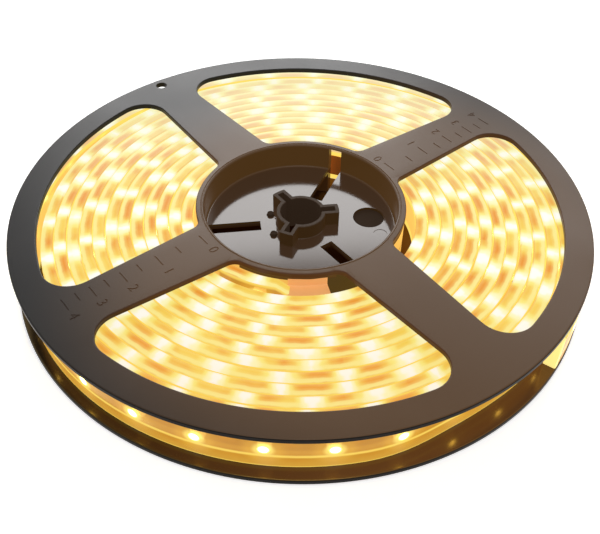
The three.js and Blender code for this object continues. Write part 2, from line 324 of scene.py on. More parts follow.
class Weave:
    """A small helper that adds nodes to one material and links them."""

    def __init__(self, name: str) -> None:
        """Starts a material with an output and a Principled shader.

        Args:
            name: The material's name.
        """
        self.material = bpy.data.materials.new(name)
        self.material.use_nodes = True
        self.tree = self.material.node_tree
        self.shader = self.tree.nodes["Principled BSDF"]
        self.output = self.tree.nodes["Material Output"]

    def node(self, kind: str, **settings: object) -> bpy.types.Node:
        """Adds a node.

        Args:
            kind: The node's type name.
            settings: Properties to set on it.

        Returns:
            The new node.
        """
        made = self.tree.nodes.new(kind)
        for key, value in settings.items():
            setattr(made, key, value)
        return made

    def link(self, source: bpy.types.NodeSocket, target: bpy.types.NodeSocket) -> None:
        """Links an output socket to an input socket."""
        self.tree.links.new(source, target)

    def math(self, operation: str, *values: object) -> bpy.types.NodeSocket:
        """Adds a Math node.

        Args:
            operation: What the node does.
            values: Its inputs in order, each a socket or a number.

        Returns:
            The node's output.
        """
        made = self.node("ShaderNodeMath", operation=operation)
        for socket, value in zip(made.inputs, values):
            if isinstance(value, bpy.types.NodeSocket):
                self.link(value, socket)
            else:
                socket.default_value = value
        return made.outputs[0]

    def map_range(self, value: bpy.types.NodeSocket, low: float, high: float, to_low: float,
                  to_high: float) -> bpy.types.NodeSocket:
        """Maps a value from one range to another, clamped and eased at both ends.

        Args:
            value: The socket to map.
            low: Start of the range it comes from.
            high: End of that range.
            to_low: What the start becomes.
            to_high: What the end becomes.

        Returns:
            The mapped value's socket.
        """
        made = self.node("ShaderNodeMapRange", interpolation_type="SMOOTHSTEP")
        for name, number in zip(("From Min", "From Max", "To Min", "To Max"), (low, high, to_low, to_high)):
            made.inputs[name].default_value = number
        self.link(value, made.inputs["Value"])
        return made.outputs["Result"]

    def ramp(self, fac: bpy.types.NodeSocket, stops: Sequence[tuple[float, tuple]],
             interpolation: str = "EASE") -> bpy.types.NodeSocket:
        """Adds a colour ramp.

        Args:
            fac: The socket that drives the ramp.
            stops: Pairs of position and linear RGBA colour, in rising order.
            interpolation: How the ramp blends between its stops.

        Returns:
            The ramp's colour output.
        """
        made = self.node("ShaderNodeValToRGB")
        made.color_ramp.interpolation = interpolation
        elements = made.color_ramp.elements
        while len(elements) < len(stops):
            elements.new(1.0)
        for element, (position, colour) in zip(elements, stops):
            element.position = position
            element.color = colour
        self.link(fac, made.inputs["Fac"])
        return made.outputs["Color"]

    def mix(self, fac: object, first: object, second: object, blend: str = "MIX") -> bpy.types.NodeSocket:
        """Mixes two colours.

        Args:
            fac: The second colour's share, a socket or a number.
            first: The first colour, a socket or a colour.
            second: The second colour, a socket or a colour.
            blend: How they are blended.

        Returns:
            The mixed colour's socket.
        """
        made = self.node("ShaderNodeMix", data_type="RGBA", blend_type=blend)
        for socket, value in ((made.inputs[0], fac), (made.inputs[6], first), (made.inputs[7], second)):
            if isinstance(value, bpy.types.NodeSocket):
                self.link(value, socket)
            else:
                socket.default_value = value
        return made.outputs[2]

    def noise(self, scale: float, detail: float = 3.0) -> bpy.types.NodeSocket:
        """Adds noise over Object coordinates.

        Args:
            scale: Repeats per metre.
            detail: Levels of finer noise.

        Returns:
            The noise's value.
        """
        coordinates = self.node("ShaderNodeTexCoord")
        made = self.node("ShaderNodeTexNoise")
        made.inputs["Scale"].default_value = scale
        made.inputs["Detail"].default_value = detail
        self.link(coordinates.outputs["Object"], made.inputs["Vector"])
        return made.outputs["Fac"]

    def run_and_place(self) -> tuple[bpy.types.NodeSocket, bpy.types.NodeSocket]:
        """Reads the strip's UV map.

        Returns:
            The run in emitter pitches, and the place across from 0 to 1.
        """
        layer = self.node("ShaderNodeUVMap", uv_map="run")
        parts = self.node("ShaderNodeSeparateXYZ")
        self.link(layer.outputs["UV"], parts.inputs["Vector"])
        return parts.outputs["X"], parts.outputs["Y"]

    def uneven_distance(self, run: bpy.types.NodeSocket, waver: float) -> bpy.types.NodeSocket:
        """Works out the distance to the nearest emitter, stretched at random emitter by emitter.

        Args:
            run: The run in emitter pitches.
            waver: How much noise shifts the distance.

        Returns:
            The distance's socket, in pitches.
        """
        pick = self.node("ShaderNodeTexWhiteNoise", noise_dimensions="1D")
        self.link(self.math("ROUND", run), pick.inputs["W"])
        stretch = self.math("MULTIPLY_ADD", pick.outputs["Value"], 0.7, 0.65)
        waving = self.math("MULTIPLY", self.math("SUBTRACT", self.noise(150.0, 2.0), 0.5), waver)
        return self.math("MULTIPLY_ADD", self.math("PINGPONG", run, 0.5), stretch, waving)

    def bump(self, height: bpy.types.NodeSocket, strength: float, distance: float) -> None:
        """Feeds a height into the shader's normal through a Bump node.

        Args:
            height: The height's socket.
            strength: The bump's strength.
            distance: The height of a full step.
        """
        made = self.node("ShaderNodeBump")
        made.inputs["Strength"].default_value = strength
        made.inputs["Distance"].default_value = distance
        self.link(height, made.inputs["Height"])
        self.link(made.outputs["Normal"], self.shader.inputs["Normal"])


@dataclass(frozen=True)
class StripLitFinish:
    """A finish with the strip's light painted on as a glow that varies by place, by default the near-black
    moulded plastic's.
    """

    name: str
    colour: Colour = linear(24, 22, 21)
    worn: Colour = linear(33, 30, 28)
    roughness: float = 0.34
    roughness_spread: float = 0.05
    specular: float = 0.18
    tint: Colour = (1.0, 1.0, 1.0, 1.0)
    grain: float = 0.05
    glow: Colour = linear(86, 57, 22)
    glow_levels: tuple[float, float, float, float] = (0.34, 0.85, 0.8, 0.0)
    glow_radii: tuple[float, float, float, float] = (29 * MM, 36 * MM, 60 * MM, 104 * MM)
    glow_centre: tuple[float, float] = (24 * MM, -20 * MM)

    def glow_share(self, weave: Weave) -> bpy.types.NodeSocket:
        """Works out how strongly the strip's painted glow shows on the plastic from where a point lies.

        Inside the hub the share is the first level. Outside, it falls with the distance from a
        centre towards the front, where the turns stand closest to the rim.

        Args:
            weave: The material's helper.

        Returns:
            The share's socket.
        """
        coordinates = weave.node("ShaderNodeTexCoord")
        parts = weave.node("ShaderNodeSeparateXYZ")
        weave.link(coordinates.outputs["Object"], parts.inputs["Vector"])
        x, y = parts.outputs["X"], parts.outputs["Y"]

        def distance(to: tuple[float, float]) -> bpy.types.NodeSocket:
            """Returns the plan distance from a point."""
            squares = [weave.math("POWER", weave.math("SUBTRACT", axis, at), 2.0)
                       for axis, at in zip((x, y), to)]
            return weave.math("SQRT", weave.math("ADD", *squares))

        inner, near, middle, far = self.glow_radii
        low, *levels = self.glow_levels
        outside = weave.map_range(distance(self.glow_centre), middle, far, levels[1], levels[2])
        close = weave.map_range(distance((0, 0)), near, middle, levels[0] - levels[1], 0.0)
        total = weave.math("ADD", outside, close)
        share = weave.map_range(distance((0, 0)), inner, inner + 2 * MM, 0.0, 1.0)
        return weave.math("ADD", weave.math("MULTIPLY", share, total),
                          weave.math("MULTIPLY", weave.math("SUBTRACT", 1.0, share), low))

    def material(self) -> bpy.types.Material:
        """Makes the material: two close colours mottled by noise, a fine spark-eroded grain, and the strip's
        light painted on as a glow.

        Returns:
            The finished material.
        """
        weave = Weave(self.name)
        cloud = weave.noise(45.0, 4.0)
        weave.link(weave.mix(cloud, self.colour, self.worn), weave.shader.inputs["Base Color"])
        rough = weave.map_range(cloud, 0.0, 1.0, self.roughness - self.roughness_spread,
                                self.roughness + self.roughness_spread)
        weave.link(rough, weave.shader.inputs["Roughness"])
        weave.shader.inputs["Specular IOR Level"].default_value = self.specular
        weave.shader.inputs["Specular Tint"].default_value = self.tint
        # Painted light: the strip's light on this surface is painted on as emission.
        weave.shader.inputs["Emission Color"].default_value = self.glow
        weave.link(self.glow_share(weave), weave.shader.inputs["Emission Strength"])
        if self.grain > 0:
            weave.bump(weave.noise(2600.0, 2.0), self.grain, 0.05 * MM)
        weave.material.cycles.emission_sampling = "NONE"
        return weave.material


@dataclass(frozen=True)
class LitEdge:
    """The lit silicone seen edge on: a hot streak at each emitter, gold between, pale at its rim."""

    name: str = "lit_silicone_edge"
    strength: float = 1.0
    core: Colour = linear(254, 254, 246)
    halo: Colour = linear(252, 249, 196)
    glow: Colour = linear(247, 233, 128)
    gold: Colour = linear(243, 206, 88)
    amber: Colour = linear(232, 148, 50)
    rim: Colour = linear(249, 236, 148)
    seam: Colour = linear(232, 164, 58)
    haze: Colour = linear(248, 246, 206)
    haze_share: float = 0.58
    deep: Colour = linear(240, 188, 72)
    deep_share: float = 0.2
    unlit: Colour = linear(60, 40, 16)

    def material(self) -> bpy.types.Material:
        """Makes the material, driven by the run along the strip and the depth across it.

        The distance to the nearest emitter is the run's triangle wave, 0 at an emitter and 0.5
        half way to the next. A random number for each emitter and noise along the strip keep
        the hot streaks from looking alike. The turns at the back are painted paler, a painted haze
        of light, and those at the front are painted a deeper gold.

        Returns:
            The finished material.
        """
        weave = Weave(self.name)
        run, depth = weave.run_and_place()
        away = weave.uneven_distance(run, 0.22)
        wobble = weave.math("SUBTRACT", weave.noise(260.0, 2.0), 0.5)
        depth = weave.math("MULTIPLY_ADD", wobble, 0.25, depth)
        drift = weave.map_range(weave.noise(55.0, 2.0), 0.38, 0.58, 0.0, 1.0)
        streak = weave.mix(drift, self.gold, self.amber)
        band = weave.ramp(away, [(0.0, self.core), (0.05, self.core), (0.11, self.halo), (0.19, self.glow),
                                 (0.28, self.gold)])
        band = weave.mix(weave.map_range(away, 0.16, 0.4, 0.0, 1.0), band, streak)
        line = weave.ramp(away, [(0.0, self.core), (0.09, self.halo), (0.22, self.rim), (0.5, self.rim)])
        across = weave.ramp(depth, [(0.0, GREY[4]), (0.16, GREY[1]), (0.32, GREY[0]), (0.5, GREY[2]),
                                    (0.68, GREY[9]), (0.86, GREY[10]), (1.0, GREY[5])])
        shade = weave.ramp(depth, [(0.0, GREY[4]), (0.14, GREY[10]), (0.93, GREY[10]), (1.0, GREY[7])])
        colour = weave.mix(across, band, line)
        colour = weave.mix(weave.math("MAXIMUM", shade, weave.map_range(away, 0.08, 0.3, 0.9, 0.0)),
                           self.seam, colour)
        coordinates = weave.node("ShaderNodeTexCoord")
        parts = weave.node("ShaderNodeSeparateXYZ")
        weave.link(coordinates.outputs["Object"], parts.inputs["Vector"])
        # Painted light: the back turns are painted paler and the front turns a deeper gold, by place.
        back = weave.map_range(parts.outputs["Y"], -10 * MM, 75 * MM, 0.0, self.haze_share)
        front = weave.map_range(parts.outputs["Y"], -70 * MM, -15 * MM, self.deep_share, 0.0)
        colour = weave.mix(front, weave.mix(back, colour, self.haze), self.deep)
        weave.link(colour, weave.shader.inputs["Emission Color"])
        weave.shader.inputs["Emission Strength"].default_value = self.strength
        weave.shader.inputs["Base Color"].default_value = self.unlit
        weave.shader.inputs["Roughness"].default_value = 0.4
        weave.shader.inputs["Specular IOR Level"].default_value = 0.06
        weave.bump(weave.noise(380.0, 3.0), 0.2, 0.1 * MM)
        weave.material.cycles.emission_sampling = "NONE"
        return weave.material


@dataclass(frozen=True)
class LitFace:
    """The strip's clear front or back: gold, with a hot spot over each emitter and lines along it.

    A spot is a share of the pitch past its emitter and a share of the width up. The lines are
    pairs of place across, from the lower edge to the upper, and the line colour's share there.
    """

    name: str = "lit_silicone_face"
    strength: float = 1.0
    flare: float = 22.0
    clear: float = 0.1
    pitch: float = 17 * MM
    width: float = 12 * MM
    spot_at: tuple[float, float] = (0.0, 0.6)
    spot_radii: tuple[float, float, float, float] = (0.7, 1.7, 3.4, 7.5)
    core: Colour = linear(255, 238, 160)
    halo: Colour = linear(255, 226, 110)
    gold: Colour = linear(216, 160, 54)
    deep: Colour = linear(188, 130, 42)
    line: Colour = linear(255, 226, 104)
    unlit: Colour = linear(90, 60, 26)
    film: Colour = linear(255, 226, 160)
    lines: tuple[tuple[float, int], ...] = ((0.0, 10), (0.04, 9), (0.07, 1), (0.34, 0), (0.38, 8),
                                            (0.42, 8), (0.46, 0), (0.88, 0), (0.94, 6), (1.0, 9))

    def material(self) -> bpy.types.Material:
        """Makes the material, driven by the run along the strip and the height across it.

        The hot spot's radius is the root of the squared distances along and across the strip.
        Its middle is brighter than white, so that glossy plastic mirrors it.

        Returns:
            The finished material.
        """
        weave = Weave(self.name)
        run, rise = weave.run_and_place()
        shift, up = self.spot_at
        wave = weave.math("PINGPONG", weave.math("SUBTRACT", run, shift), 0.5)
        along = weave.math("MULTIPLY", wave, self.pitch / MM)
        across = weave.math("MULTIPLY", weave.math("SUBTRACT", rise, up), self.width / MM)
        radius = weave.math("SQRT", weave.math("ADD", weave.math("POWER", along, 2.0),
                                               weave.math("POWER", across, 2.0)))
        inner, halo, gold, deep = (size / 10 for size in self.spot_radii)
        spot = weave.ramp(weave.math("DIVIDE", radius, 10.0), [
            (0.0, self.core), (inner, self.core), (halo, self.halo), (gold, self.gold), (deep, self.deep)])
        streak = weave.mix(weave.noise(120.0, 3.0), self.deep, self.gold)
        spot = weave.mix(weave.map_range(radius, gold * 10, deep * 10, 0.0, 0.6), spot, streak)
        lines = weave.ramp(rise, [(place, GREY[share]) for place, share in self.lines], "LINEAR")
        weave.link(weave.mix(lines, spot, self.line), weave.shader.inputs["Emission Color"])
        weave.link(weave.map_range(radius, 0.0, halo * 10, self.flare, self.strength),
                   weave.shader.inputs["Emission Strength"])
        weave.shader.inputs["Base Color"].default_value = self.unlit
        weave.shader.inputs["Roughness"].default_value = 0.2
        weave.shader.inputs["Specular IOR Level"].default_value = 0.2
        clear = weave.node("ShaderNodeBsdfTransparent")
        clear.inputs["Color"].default_value = self.film
        blend = weave.node("ShaderNodeMixShader")
        weave.link(weave.map_range(rise, 0.86, 0.92, self.clear, 0.0), blend.inputs["Fac"])
        weave.link(weave.shader.outputs["BSDF"], blend.inputs[1])
        weave.link(clear.outputs["BSDF"], blend.inputs[2])
        weave.link(blend.outputs["Shader"], weave.output.inputs["Surface"])
        return weave.material


@dataclass(frozen=True)
class PlainFinish:
    """A mottled colour with a little bump, and an optional glow: painted strip light on most pieces, the
    emitters' own light on the emitters.
    """

    name: str
    colour: Colour
    other: Colour
    roughness: float
    scale: float = 300.0
    bump: float = 0.1
    metallic: float = 0.0
    specular: float = 0.3
    glow: Colour | None = None
    strength: float = 0.0

    def material(self) -> bpy.types.Material:
        """Makes the material: two colours mixed by noise over Object coordinates.

        Returns:
            The finished material.
        """
        weave = Weave(self.name)
        cloud = weave.noise(self.scale, 3.0)
        weave.link(weave.mix(cloud, self.colour, self.other), weave.shader.inputs["Base Color"])
        weave.shader.inputs["Roughness"].default_value = self.roughness
        weave.shader.inputs["Metallic"].default_value = self.metallic
        weave.shader.inputs["Specular IOR Level"].default_value = self.specular
        weave.bump(cloud, self.bump, 0.1 * MM)
        if self.glow is not None:
            weave.shader.inputs["Emission Color"].default_value = self.glow
            weave.shader.inputs["Emission Strength"].default_value = self.strength
        return weave.material


class MouldingFace(Enum):
    """The kinds of face on a moulding, in the order of their materials."""

    BODY = 0
    WEB = 1
    HIDDEN = 2
    BOSS = 3
    WINDOW = 4
    MARK = 5
    RIM = 6
    HUB = 7


@dataclass
class ReelHalf:
    """One moulding of the reel: flange with four windows, half hub, web, arbor boss and pegs."""

    reel_r: float
    half_height: float
    flange_t: float = 1.8 * MM
    rim_edge: float = 0.45 * MM
    window_edge: float = 0.35 * MM
    parting: float = 0.15 * MM
    datum: float = 128.1
    hub_r: float = 32.6 * MM
    bore_r: float = 30.2 * MM
    mouth: float = 0.7 * MM
    web_t: float = 0.8 * MM
    arbor_r: float = 6.5 * MM
    boss_r: float = 7.8 * MM
    boss_rise: float = 4.8 * MM
    key_w: float = 2.2 * MM
    key_reach: float = 11 * MM
    key_wall: float = 1.1 * MM
    spokes: int = 4
    root_w: float = 18.8 * MM
    tip_w: float = 14.6 * MM
    window_in: float = 32.8 * MM
    window_out: float = 80.6 * MM
    root_fillet: float = 3.5 * MM
    tip_fillet: float = 8.5 * MM
    slot_w: float = 4.4 * MM
    slot_start: float = 12.8 * MM
    slot_roof: float = 0.5 * MM
    rim_hole: tuple[float, float] = (85 * MM, 2 * MM)
    web_hole: tuple[float, float] = (22 * MM, 5 * MM)
    peg: tuple[float, float, float] = (10.4 * MM, 1.0 * MM, 28.0)
    peg_proud: float = 1.0 * MM
    socket_gap: float = 0.3 * MM
    lip_groove: tuple[float, float] = (31.15 * MM, 0.24 * MM)
    ejector: tuple[float, float, float] = (25.6 * MM, 2.2 * MM, 139.1)
    mark_depth: float = 0.12 * MM
    over: float = 1.0 * MM
    turn_steps: int = 288

    @property
    def web_z(self) -> float:
        """Height of the web's face above the parting plane."""
        return self.parting + self.web_t

    @property
    def boss_z(self) -> float:
        """Height of the arbor boss's end above the parting plane."""
        return self.web_z + self.boss_rise

    @property
    def flange_z(self) -> float:
        """Height of the flange's inner face above the parting plane."""
        return self.half_height - self.flange_t

    def profile(self) -> np.ndarray:
        """Draws the turned profile, with quarter rounds at the flange's rim and the hub's mouth.

        Returns:
            Rows of radius and height, in order round the profile.
        """
        edge, lip = self.rim_edge, self.mouth
        rim = self.reel_r - edge
        foot = 0.5 * MM
        rounds = [
            arc((rim, self.flange_z + edge), edge, -90, 0, 6),
            arc((rim, self.half_height - edge), edge, 0, 90, 6),
            arc((self.lip_groove[0], self.half_height), self.lip_groove[1], 0, -180, 6),
            arc((self.bore_r + lip, self.half_height - lip), lip, 90, 180, 6),
            arc((self.bore_r - foot, self.web_z + foot), foot, 0, -90, 4),
            arc((self.boss_r + foot / 2, self.web_z + foot / 2), foot / 2, -90, -180, 3),
        ]
        ends = {
            "start": [[self.arbor_r, self.parting], [self.hub_r, self.parting],
                      [self.hub_r, self.flange_z]],
            "boss": [[self.boss_r, self.boss_z - 0.2 * MM], [self.boss_r - 0.2 * MM, self.boss_z],
                     [self.arbor_r + 0.15 * MM, self.boss_z], [self.arbor_r, self.boss_z - 0.15 * MM]],
        }
        return np.concatenate([ends["start"], *rounds, ends["boss"]])

    def corner(self, arc_r: float, fillet: float, side: int) -> tuple[np.ndarray, float, float]:
        """Finds the fillet between a spoke's edge and a window's arc, in the frame of a spoke on +X.

        Its centre lies one fillet radius off the edge's line and off the arc.

        Args:
            arc_r: The window arc's radius.
            fillet: The fillet's radius.
            side: -1 where the fillet lies inside the arc, 1 where it lies outside.

        Returns:
            The centre, the bearing from it to the spoke's edge, and the centre's own bearing.
        """
        slope = (self.tip_w - self.root_w) / 2 / (self.window_out - self.window_in)
        stretch = math.hypot(1, slope)
        lift = self.root_w / 2 - slope * self.window_in + fillet * stretch
        reach = arc_r + side * fillet
        x = (math.sqrt((stretch * reach) ** 2 - lift ** 2) - lift * slope) / stretch ** 2
        y = lift + slope * x
        return np.array([x, y]), math.degrees(math.atan2(-1, slope)), math.degrees(math.atan2(y, x))

    def window_outline(self, spoke: float) -> np.ndarray:
        """Draws a window's closed outline, half of it mirrored in the window's middle line.

        Args:
            spoke: The bearing of the spoke before the window.

        Returns:
            Rows of x and y.
        """
        middle = 180 / self.spokes
        tip, edge, tip_at = self.corner(self.window_out, self.tip_fillet, -1)
        root, _, root_at = self.corner(self.window_in, self.root_fillet, 1)
        half = np.concatenate([
            arc((0, 0), self.window_out, middle, tip_at, 24)[:-1],
            arc(tip, self.tip_fillet, tip_at, edge, 14),
            arc(root, self.root_fillet, edge + 360, root_at + 180, 10),
            arc((0, 0), self.window_in, root_at, middle, 12)[1:],
        ])
        radius = np.linalg.norm(half, axis=1)
        bearing = np.degrees(np.arctan2(half[:, 1], half[:, 0]))
        mirrored = polar(radius, 2 * middle - bearing)[1:-1][::-1]
        whole = np.concatenate([half, mirrored])
        turn = math.radians(spoke)
        spin = np.array([[math.cos(turn), math.sin(turn)], [-math.sin(turn), math.cos(turn)]])
        return whole @ spin

    def window_cutter(self, spoke: float) -> Surface:
        """Makes the solid that cuts one window, flared at both faces so that its edges are round.

        Args:
            spoke: The bearing of the spoke before the window.

        Returns:
            The closed solid.
        """
        outline = self.window_outline(spoke)
        edge = self.window_edge
        turn = np.radians(np.linspace(0, 90, 5))
        offset = edge - edge * np.cos(turn)
        rise = edge * np.sin(turn)
        heights = np.concatenate([
            [self.flange_z - self.over], (self.flange_z + edge - rise)[::-1],
            self.half_height - edge + rise, [self.half_height + self.over]])
        offsets = np.concatenate([[edge], offset[::-1], offset, [edge]])
        return stacked([spread(outline, d) for d in offsets], heights)

    def block(self, bearing: float, inner: float, outer: float, width: float,
              bottom: float, top: float) -> Surface:
        """Makes a block along a bearing whose outer end is an arc about the reel's axis.

        Args:
            bearing: The way the block points.
            inner: Where it starts.
            outer: The radius of its outer end.
            width: Its width.
            bottom: The height of its underside.
            top: The height of its top.

        Returns:
            The closed block.
        """
        half = width / 2
        swing = math.degrees(math.asin(half / outer))
        outline = np.concatenate([[[inner, half], [inner, -half]], arc((0, 0), outer, -swing, swing, 4)])
        turn = Matrix.Rotation(math.radians(bearing), 4, "Z")
        return stacked([outline, outline], [bottom, top]).moved(turn)

    def pin(self, bearing: float, at: float, radius: float, bottom: float, top: float) -> Surface:
        """Makes an upright round pin.

        Args:
            bearing: The bearing of its middle.
            at: The distance of its middle from the axis.
            radius: The pin's radius.
            bottom: The height of its underside.
            top: The height of its top.

        Returns:
            The closed pin.
        """
        outline = arc(polar(np.array(at), np.array(bearing)), radius, 0, 360, 28)[:-1]
        return stacked([outline, outline], [bottom, top])

    def bearings(self, count: int) -> np.ndarray:
        """Returns evenly spaced bearings that start at the datum."""
        return self.datum + np.arange(count) * 360 / count

    def finish_by_place(self, piece: bpy.types.Object) -> None:
        """Gives each face the finish of its kind, told by where it lies and which way it points.

        Args:
            piece: The moulding, in its own frame.
        """
        mesh = piece.data
        middle = np.empty((len(mesh.polygons), 3))
        mesh.polygons.foreach_get("center", middle.ravel())
        normal = np.empty((len(mesh.polygons), 3))
        mesh.polygons.foreach_get("normal", normal.ravel())
        radius, z = np.hypot(middle[:, 0], middle[:, 1]), middle[:, 2]
        level, small = np.abs(normal[:, 2]) > 0.9, 0.05 * MM
        inside = radius < self.bore_r
        key = np.radians(self.bearings(3))
        across = np.abs(middle[:, 1:2] * np.cos(key) - middle[:, :1] * np.sin(key))
        along = middle[:, :1] * np.cos(key) + middle[:, 1:2] * np.sin(key)
        in_key = ((across < self.key_w / 2 + small) & (along > 0)).any(axis=1) & ~level
        index = np.select([
            inside & level & (z > self.parting + small) & (z < self.web_z + small),
            ((inside & (z < self.parting + small)) | (radius < self.arbor_r + small)
             | (in_key & (radius < self.key_reach + small))),
            inside & level & (z > self.boss_z - 0.2 * MM),
            (radius > self.hub_r) & (radius < self.window_out + 1 * MM) & ~level & (z > self.flange_z),
            (radius > self.hub_r) & level & (np.abs(z - self.half_height + self.mark_depth) < small),
            (radius > self.reel_r - 0.14 * MM) & ~level,
            (np.abs(radius - self.hub_r) < small) & ~level,
        ], [kind.value for kind in list(MouldingFace)[1:]], MouldingFace.BODY.value).astype(np.int32)
        mesh.polygons.foreach_set("material_index", index)

    def build(self, name: str, finishes: Sequence[bpy.types.Material], marks: Sequence[Surface],
              place: Matrix) -> bpy.types.Object:
        """Builds the moulding and puts it where it belongs.

        Args:
            name: The piece's name.
            finishes: The materials, in the order of MouldingFace.
            marks: Solids that engrave the ruler marks.
            place: The move from the moulding's own frame, where the parting plane is z = 0.

        Returns:
            The finished piece.
        """
        keys = self.bearings(3)
        piece = piece_from(revolved(self.profile(), self.turn_steps), name, finishes)
        peg_r, peg_radius, peg_turn = self.peg
        low, high = self.parting - self.over, self.half_height + self.over
        boolean(piece, [self.block(k, self.arbor_r, self.key_reach + self.key_wall,
                                   self.key_w + 2 * self.key_wall, self.parting, self.boss_z) for k in keys],
                "UNION")
        boolean(piece, [self.pin(self.datum - 60 + turn, peg_r, peg_radius, -self.web_t - self.peg_proud,
                                 self.web_z - 0.1 * MM) for turn in (-peg_turn, peg_turn)], "UNION")
        cuts = [self.pin(0, 0, self.arbor_r, low, high)]
        cuts += [self.block(k, 0.5 * MM, self.key_reach, self.key_w, low, high) for k in keys]
        cuts += [self.block(k + 60, self.slot_start, self.window_in + self.over, self.slot_w, low,
                            self.half_height - self.slot_roof) for k in keys]
        cuts += [self.pin(self.datum + 60 + turn, peg_r, peg_radius + self.socket_gap, low,
                          self.web_z + self.over) for turn in (-peg_turn, peg_turn)]
        cuts += [self.pin(self.datum, *self.rim_hole, self.flange_z - self.over, high),
                 self.pin(self.datum - 120, *self.web_hole, low, self.web_z + self.over)]
        cuts += [self.window_cutter(spoke) for spoke in self.bearings(self.spokes)]
        at, size, turn = self.ejector
        cuts.append(self.pin(self.datum - turn, at, size, self.web_z - self.mark_depth,
                             self.web_z + self.over))
        cuts += marks
        boolean(piece, cuts, "DIFFERENCE")
        self.finish_by_place(piece)
        piece.data.transform(place)
        smooth(piece)
        weighted = piece.modifiers.new("weighted", "WEIGHTED_NORMAL")
        weighted.keep_sharp = True
        weighted.weight = 100
        return piece


def eased(value: np.ndarray, low: float, high: float) -> np.ndarray:
    """Returns 0 below low, 1 above high and a smooth rise between them."""
    share = np.clip((value - low) / (high - low), 0, 1)
    return share ** 2 * (3 - 2 * share)


@dataclass
class Winding:
    """The strip's flat spiral, which grows clockwise from the hub and springs out at its end."""

    start_r: float = 33.0 * MM
    ribbon_r: float = 34.0 * MM
    pitch: float = 3.955 * MM
    turns: float = 12.857
    start: float = -86.4
    flare: float = 1.3 * MM
    flare_turns: float = 0.93
    flare_run: float = 0.05
    dip: tuple[float, float, float] = (1.2 * MM, -54.0, 14.0)
    sway: float = 0.9 * MM
    sway_to: float = 20.0
    axis_z: float = 8.1 * MM
    wander: float = 0.05 * MM
    ripple: float = 0.2 * MM
    rise: float = 0.6 * MM
    lift: float = 2.3 * MM
    lift_turns: tuple[float, float, float, float] = (0.018, 0.042, 0.12, 0.3)

    def radius(self, turn: np.ndarray) -> np.ndarray:
        """Works out the radius of the strip's back.

        It is start + pitch for each turn, plus two small sines, plus a sway of the winding to one
        side that grows outwards and ends with the last turn, which stands off the one under it.
        A bell curve of the bearing presses the outer turns in just before that.

        Args:
            turn: Turns from the inner end.

        Returns:
            The radius at each turn.
        """
        ease = eased(turn, self.turns - self.flare_turns, self.turns - self.flare_turns + self.flare_run)
        loose = np.sin(2 * np.pi * turn * 1.37 + 0.4) + 0.7 * np.sin(2 * np.pi * turn * 2.61 + 2.1)
        bearing = np.radians(self.start - 360 * turn - self.sway_to)
        sway = self.sway * turn / self.turns * np.cos(bearing)
        depth, at, width = self.dip
        off = (self.start - 360 * turn - at + 180) % 360 - 180
        dip = depth * np.clip((turn - 3) / 9, 0, 1) * np.exp(-(off / width) ** 2)
        wander = ((self.wander * loose + sway) * np.clip(turn, 0, 1) - dip) * (1 - ease)
        return self.start_r + self.pitch * turn + self.flare * ease + wander

    def height(self, turn: np.ndarray) -> np.ndarray:
        """Works out the height of the strip's middle.

        A slow ripple of two sines and a rise fade towards the outer turns, and the first turn is
        lifted just past the tape.

        Args:
            turn: Turns from the inner end.

        Returns:
            The height at each turn.
        """
        wave = np.sin(2 * np.pi * turn * 0.83 + 1.0) + np.sin(2 * np.pi * turn * 3.19)
        inner = (self.rise + self.ripple * (0.5 + 0.25 * wave)) * (1 - (turn / self.turns) ** 2)
        up, high, still, down = self.lift_turns
        hump = self.lift * eased(turn, up, high) * (1 - eased(turn, still, down))
        return self.axis_z + inner * eased(turn, up, high) + hump

    def frame_at(self, turn: np.ndarray) -> tuple[np.ndarray, np.ndarray, np.ndarray]:
        """Places the strip's back along the winding.

        Args:
            turn: Turns from the inner end.

        Returns:
            Points on the strip's back, and the outward and forward directions there.
        """
        bearing = self.start - 360 * turn
        flat = polar(self.radius(turn), bearing)
        points = np.column_stack([flat, self.height(turn)])
        out = np.column_stack([polar(np.ones_like(turn), bearing), np.zeros_like(turn)])
        ahead = np.column_stack([polar(np.ones_like(turn), bearing - 90), np.zeros_like(turn)])
        return points, out, ahead

    def length(self, turn: np.ndarray) -> np.ndarray:
        """Returns the strip's length up to a turn: the area wound so far over the pitch."""
        return np.pi * turn * (2 * self.ribbon_r + self.pitch * turn)

    def turn_at(self, length: np.ndarray) -> np.ndarray:
        """Returns the turn that a length of strip reaches."""
        return (np.sqrt(self.ribbon_r ** 2 + self.pitch * length / np.pi) - self.ribbon_r) / self.pitch


class StripSide(Enum):
    """The sides of the strip, in the order of their materials."""

    FRONT = 0
    EDGE = 1
    BACK = 2


